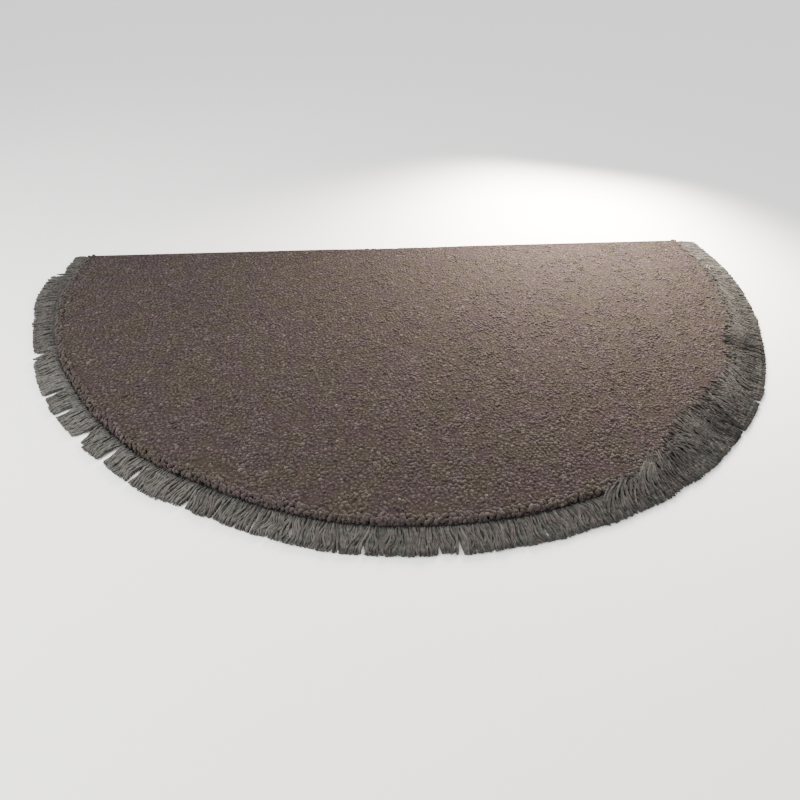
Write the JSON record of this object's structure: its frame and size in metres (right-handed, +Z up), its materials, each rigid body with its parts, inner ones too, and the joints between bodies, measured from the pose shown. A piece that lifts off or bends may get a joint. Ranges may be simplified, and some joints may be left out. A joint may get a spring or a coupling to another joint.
{
  "type": "hooked rug",
  "caption": "Half-round hooked rug: low looped yarn pile on a woven cloth, a straight hemmed back edge and a yarn fringe sewn around the curved edge.",
  "frame": {"origin": "centre of the bounding box, on the floor that the rug lies on", "axes": "+Z up, +Y towards the straight back edge, +X to the right when seen from the round front edge"},
  "size_m": [1.3807, 0.7628, 0.0127],
  "materials": {
    "foundation_cloth": "plain woven jute, matte",
    "pile_yarn": "looped wool yarn, matte and nubby, brown with mauve and olive flecks",
    "fringe_yarn": "loose twisted yarn, matte, grey brown"
  },
  "bodies": {
    "root": {"foundation": "foundation_cloth", "hooked_pile": "pile_yarn", "fringe": "fringe_yarn"}
  },
  "joints": []
}
